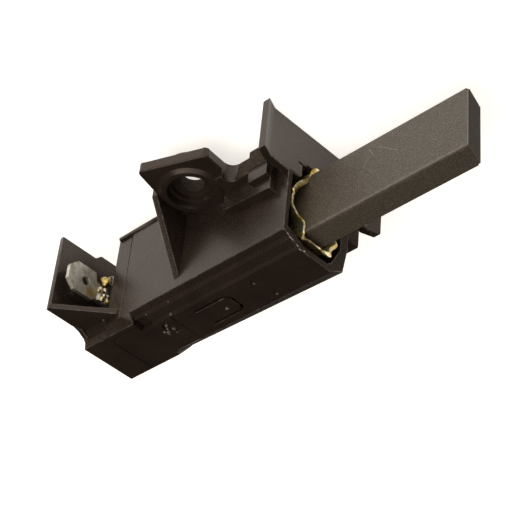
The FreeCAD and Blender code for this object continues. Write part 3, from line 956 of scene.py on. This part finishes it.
class PressCarbon(bpy.types.Operator):
    """Grinds the carbon, wears its edges and finishes the copper plug in its back"""

    bl_idname = "carbon_brush.press_carbon"
    bl_label = "Press the carbon"

    def execute(self, context):
        carbon = node_copy("ground_carbon", "carbon_block")
        soften(carbon, context.scene.brush_carbon.edge / MM)
        for start, end in CARBON_MARKS:
            cut_out(carbon, scratch(start, end))
        for seed, (corner, radius) in enumerate(CARBON_CHIPS):
            cut_out(carbon, lump(place(*corner), radius * MM, seed, 0.5))
        smooth_flats(carbon)
        fit(carbon, "brush", "carbon", carbon_grade(), "carbon_block")
        paint(carbon, contact_film(), lambda face: face.normal.x > 0.9)
        paint(carbon, rubbed_graphite(), in_mark)
        plug = frame["nodes"]["shunt_plug"]
        plug.data.materials.clear()
        plug.data.materials.append(plug_copper())
        return {"FINISHED"}


# Lumps of the folded and soldered claws on the blade's front face: across, up and radius
CLAW_FOLDS = [
    (8.7, 0.8, 0.42), (7.8, 2.2, 0.6), (6.65, 1.1, 0.55),
    (7.4, -0.1, 0.5), (6.5, 2.0, 0.5), (7.4, 1.2, 0.45),
]

# Plane of those lumps along the brush, in millimetres from the mouth
CLAW_FACE = -46.2


class StampBlade(bpy.types.Operator):
    """Stamps the tinned blade, with coined edges and its crimp"""

    bl_idname = "carbon_brush.stamp_blade"
    bl_label = "Stamp the blade"

    def execute(self, context):
        blade = node_copy("tinned_blade", "terminal_blade")
        soften(blade, 0.1)
        smooth_flats(blade)
        fit(blade, "holder", "tinned_brass", blade_tin(), "terminal_blade")
        folds = [
            lump(place(CLAW_FACE, y, z), radius * MM, seed)
            for seed, (y, z, radius) in enumerate(CLAW_FOLDS)
        ]
        claws = join("folded_claws", folds)
        melt(claws, 0.12)
        smooth(claws, 60)
        fit(claws, "holder", "tinned_brass", worn_tin())
        return {"FINISHED"}


# Route of the cord, in millimetres about the brush axis, as in the part's source
CORD_INSIDE = [(-4.05, 0, 0), (-17, 0, 0), (-30, 0, 0), (-43, 0, 0)]
CORD_TAIL = [
    (-43, 0, 0), (-43.9, 0, 0), (-45.6, -0.1, -0.3),
    (-46.8, 0.6, -1.7), (-46.9, 2.4, -2.9), (-46.9, 6.9, -2.9),
]

# Frayed and soldered end of the cord above its crimp: place and radius
CORD_END = (-46.2, 7.35, -1.85)
CORD_BEAD = 0.95

# Radius of a strand and length of one turn, as shares of the cord's diameter; radius of the
# filling inside, in strands
STRAND_SHARE = 0.11
LAY_SHARE = 3.2
CORE_STRANDS = 2.6


def route_points(route, resolution):
    """Evenly read points of the smooth spline that the cord follows."""
    curve = bpy.data.curves.new("route", "CURVE")
    curve.dimensions = "3D"
    spline = curve.splines.new("NURBS")
    spline.points.add(len(route) - 1)
    for point, xyz in zip(spline.points, route):
        point.co = (*place(*xyz), 1)
    spline.order_u = 3
    spline.use_endpoint_u = True
    spline.resolution_u = resolution
    path = bpy.data.objects.new("route", curve)
    bpy.context.collection.objects.link(path)
    mesh = bpy.data.meshes.new_from_object(path)
    points = [vertex.co.copy() for vertex in mesh.vertices]
    bpy.data.objects.remove(path)
    return points


def braid(name, route, resolution, diameter, strands):
    """Round cord of strands that wind both ways along a route, over and under each other."""
    points = route_points(route, resolution)
    strand = diameter * STRAND_SHARE
    lay = diameter * LAY_SHARE
    curve = bpy.data.curves.new(name, "CURVE")
    curve.dimensions = "3D"
    curve.bevel_depth = strand
    curve.bevel_resolution = 1
    curve.use_fill_caps = True
    for direction in (-1, 1):
        for number in range(strands):
            spline = curve.splines.new("POLY")
            spline.points.add(len(points) - 1)
            travelled = 0.0
            side = Vector((0, 0, 1))
            for index, point in enumerate(points):
                ahead = points[min(index + 1, len(points) - 1)] - points[max(index - 1, 0)]
                ahead.normalize()
                side = (side - ahead * side.dot(ahead)).normalized()
                if index:
                    travelled += (point - points[index - 1]).length
                turn = direction * (2 * math.pi * travelled / lay) + 2 * math.pi * number / strands
                weave = math.cos(2 * math.pi * travelled / lay * strands + math.pi * number)
                radius = diameter / 2 - strand * 1.5 + direction * weave * strand * 0.5
                spoke = side * math.cos(turn) + ahead.cross(side) * math.sin(turn)
                spline.points[index].co = (*(point + spoke * radius), 1)
    core = curve.splines.new("POLY")
    core.points.add(len(points) - 1)
    for index, point in enumerate(points):
        core.points[index].co = (*point, 1)
        core.points[index].radius = CORE_STRANDS
    piece = bpy.data.objects.new(name, curve)
    bpy.context.collection.objects.link(piece)
    pick(piece)
    bpy.ops.object.convert(target="MESH")
    return bpy.context.object


class WindCord(bpy.types.Operator):
    """Winds the spring and braids the cord that runs through it to the blade"""

    bl_idname = "carbon_brush.wind_cord"
    bl_label = "Wind the spring and braid the cord"

    def execute(self, context):
        sizes = context.scene.brush_cord
        copper = braid_copper()
        inside = braid("cord_in_spring", CORD_INSIDE, 24, sizes.diameter, sizes.strands)
        fit(inside, "holder", "copper_braid", copper, "pigtail")
        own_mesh(inside)
        tail = braid("cord_tail", CORD_TAIL, 12, sizes.diameter, sizes.strands)
        fit(tail, "holder", "copper_braid", copper, "pigtail")
        bead = lump(place(*CORD_END), CORD_BEAD * MM, 5, 0.9)
        bead.name = "cord_end"
        smooth(bead, 60)
        fit(bead, "holder", "copper_braid", copper)
        spring = wind_spring(sizes)
        fit(spring, "holder", "spring_steel", spring_wire_steel(), "pressure_spring")
        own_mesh(spring)
        return {"FINISHED"}


def wind_spring(sizes):
    """Coil spring wound from round wire, from the end wall to the back of the carbon."""
    low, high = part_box("pressure_spring")
    radius = (high.z - low.z - sizes.wire) / 2
    length = high.x - low.x - sizes.wire
    deselect()
    bpy.ops.mesh.primitive_circle_add(
        vertices=8,
        radius=sizes.wire / 2,
        location=(low.x + sizes.wire / 2, MOUTH.y, MOUTH.z + radius),
    )
    spring = bpy.context.object
    spring.name = "coil_spring"
    centre = bpy.data.objects.new("spring axis", None)
    centre.location = (low.x + sizes.wire / 2, MOUTH.y, MOUTH.z)
    bpy.context.collection.objects.link(centre)
    pick(spring)
    bpy.ops.object.mode_set(mode="EDIT")
    bpy.ops.mesh.select_all(action="SELECT")
    bpy.ops.transform.rotate(value=math.pi / 2, orient_axis="X", center_override=spring.location)
    bpy.ops.object.mode_set(mode="OBJECT")
    settle(spring)
    winding = spring.modifiers.new("winding", "SCREW")
    winding.axis = "X"
    winding.object = centre
    winding.steps = 20
    winding.render_steps = 20
    winding.iterations = sizes.turns
    winding.screw_offset = length / sizes.turns
    apply_modifiers(spring)
    bpy.data.objects.remove(centre)
    smooth(spring, 60)
    return spring


class SetStage(bpy.types.Operator):
    """Lays the pale floor, hangs the soft lights and stands the camera"""

    bl_idname = "carbon_brush.set_stage"
    bl_label = "Set the stage"

    def execute(self, context):
        stage_floor()
        stage_lights()
        stage_camera()
        return {"FINISHED"}


# Side of the floor in metres, its gap under the part, and how brightly it is lit from below
FLOOR_SIZE = 3.0
FLOOR_GAP = 0.02 * MM
FLOOR_GLOW = 0.68


def stage_floor():
    """Frosted white table, lit from below, under the lowest edge of the part."""
    deselect()
    middle = (MOUTH.x, MOUTH.y, CAD_BOX[0].z - FLOOR_GAP)
    bpy.ops.mesh.primitive_plane_add(size=FLOOR_SIZE, location=middle)
    floor = settle(bpy.context.object)
    floor.name = "floor"
    material, tree, shader, coordinates = new_material("frosted white table", linear("#f4f3f1"), 0.9)
    fibre = noise(tree, coordinates, 2.0, 3.0)
    tree.links.new(bump(tree, fibre, 0.02, 0.2), shader.inputs["Normal"])
    shader.inputs["Emission Color"].default_value = linear(LIGHT_COLOUR)
    shader.inputs["Emission Strength"].default_value = FLOOR_GLOW
    floor.data.materials.append(material)


# Soft lights: name, place from the mouth in metres, side in metres, watts
LIGHTS = [
    ("key", (0.3, 1.2, 1.0), 1.7, 19.0),
    ("top", (0.1, 0.5, 1.3), 1.4, 9.0),
]
LIGHT_COLOUR = "#fffaf4"


def stage_lights():
    """Large soft lights on the camera's side and a dim sky, which leaves the far side dark."""
    for name, offset, side, watts in LIGHTS:
        lamp = bpy.data.lights.new(name, "AREA")
        lamp.shape = "SQUARE"
        lamp.size = side
        lamp.energy = watts
        lamp.color = linear(LIGHT_COLOUR)[:3]
        light = bpy.data.objects.new(name, lamp)
        light.location = MOUTH + Vector(offset)
        light.rotation_mode = "QUATERNION"
        light.rotation_quaternion = Vector(offset).to_track_quat("Z", "Y")
        bpy.context.collection.objects.link(light)
    world = bpy.data.worlds.new("sky")
    world.use_nodes = True
    world.node_tree.nodes["Background"].inputs["Color"].default_value = linear("#8c857c")
    world.node_tree.nodes["Background"].inputs["Strength"].default_value = 0.15
    bpy.context.scene.world = world
    bpy.context.scene.view_settings.view_transform = "Standard"


# Camera of the photograph: it looks at the brush from above the ear side, and is held upside down
CAMERA_AZIMUTH = 132.43
CAMERA_ELEVATION = 38.66
CAMERA_ROLL = -173.98
CAMERA_PLACE = (151.41, 151.88, 182.56)
CAMERA_LENS = 116.9


def stage_camera():
    """Camera at the photograph's viewing angle."""
    lens = bpy.data.cameras.new("camera")
    lens.lens = CAMERA_LENS
    lens.sensor_width = 36
    lens.clip_start = 0.01
    lens.clip_end = 20
    camera = bpy.data.objects.new("camera", lens)
    azimuth = math.radians(CAMERA_AZIMUTH)
    elevation = math.radians(CAMERA_ELEVATION)
    back = Vector(
        (
            math.sin(azimuth) * math.cos(elevation),
            -math.cos(azimuth) * math.cos(elevation),
            math.sin(elevation),
        )
    )
    camera.rotation_mode = "QUATERNION"
    turned = (-back).to_track_quat("-Z", "Y")
    camera.rotation_quaternion = turned @ Quaternion((0, 0, 1), math.radians(CAMERA_ROLL))
    camera.location = place(*CAMERA_PLACE)
    bpy.context.collection.objects.link(camera)
    bpy.context.scene.camera = camera


class BrushPanel(bpy.types.Panel):
    """Sizes and colours of the brush, with one button for each step"""

    bl_idname = "VIEW3D_PT_carbon_brush"
    bl_label = "Carbon Brush"
    bl_space_type = "VIEW_3D"
    bl_region_type = "UI"
    bl_category = "Carbon Brush"

    def draw(self, context):
        for group, names in PANEL_ROWS.items():
            box = self.layout.box()
            for name in names:
                box.prop(getattr(context.scene, group), name)
        for operator in OPERATORS:
            self.layout.operator(operator.bl_idname)


PANEL_ROWS = {
    "brush_holder": ("edge", "moulding_dark", "moulding_light"),
    "brush_guide": ("sheet", "crumple", "colour"),
    "brush_carbon": ("edge", "grain", "dark", "light"),
    "brush_cord": ("diameter", "strands", "turns", "wire"),
}
GROUPS = {
    "brush_holder": HolderSizes,
    "brush_guide": GuideSizes,
    "brush_carbon": CarbonSizes,
    "brush_cord": CordSizes,
}
OPERATORS = (FinishHolder, FoldGuide, PressCarbon, StampBlade, WindCord, SetStage)


def register():
    """Adds the sizes, the steps and the panel."""
    for group in GROUPS.values():
        bpy.utils.register_class(group)
    for name, group in GROUPS.items():
        setattr(bpy.types.Scene, name, bpy.props.PointerProperty(type=group))
    for operator in OPERATORS:
        bpy.utils.register_class(operator)
    bpy.utils.register_class(BrushPanel)


def unregister():
    """Takes away the panel, the steps and the sizes."""
    bpy.utils.unregister_class(BrushPanel)
    for operator in reversed(OPERATORS):
        bpy.utils.unregister_class(operator)
    for name in GROUPS:
        delattr(bpy.types.Scene, name)
    for group in reversed(list(GROUPS.values())):
        bpy.utils.unregister_class(group)


def main():
    """Runs every step."""
    register()
    bpy.ops.carbon_brush.finish_holder()
    bpy.ops.carbon_brush.fold_guide()
    bpy.ops.carbon_brush.press_carbon()
    bpy.ops.carbon_brush.stamp_blade()
    bpy.ops.carbon_brush.wind_cord()
    bpy.ops.carbon_brush.set_stage()


if __name__ == "__main__":
    main()
